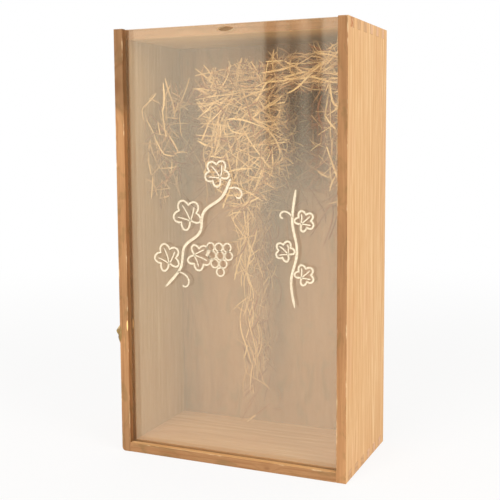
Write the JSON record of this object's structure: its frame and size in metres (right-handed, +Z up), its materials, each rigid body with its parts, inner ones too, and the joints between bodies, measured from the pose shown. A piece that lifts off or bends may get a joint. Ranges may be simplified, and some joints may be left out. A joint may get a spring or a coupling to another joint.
{
  "type": "wooden wine box",
  "caption": "Upright wooden box for two bottles, with finger-jointed corners, a clear front lid that slides up in grooves and wood-wool padding inside.",
  "frame": {"origin": "middle of the underside, halfway between the two sides and between the front and back edges", "axes": "+Z up, the way the lid slides out; -Y towards the clear front lid; +X to the right as seen from the front"},
  "size_m": [0.2035, 0.108, 0.355],
  "materials": {
    "side_wood": "sanded, unvarnished softwood",
    "top_bottom_wood": "sanded, unvarnished softwood with end grain on the fingers",
    "panel_wood": "smooth thin panel, unvarnished",
    "clear_acrylic": "clear, polished, with a frosted sprig motif",
    "wood_wool": "loose straw-coloured shavings"
  },
  "bodies": {
    "box": {"left_side": "side_wood", "right_side": "side_wood", "top_board": "top_bottom_wood", "bottom_board": "top_bottom_wood", "back_panel": "panel_wood", "wool_divider": "wood_wool", "wool_nest": "wood_wool", "wool_mat": "wood_wool", "wool_left": "wood_wool", "wool_right": "wood_wool", "wool_roof": "wood_wool"},
    "lid": {"lid": "clear_acrylic"}
  },
  "joints": [
    {"name": "lid_slide", "type": "slide", "parent": "box", "child": "lid", "axis": [0, 0, 1], "range_m": [0, 0.36]}
  ]
}
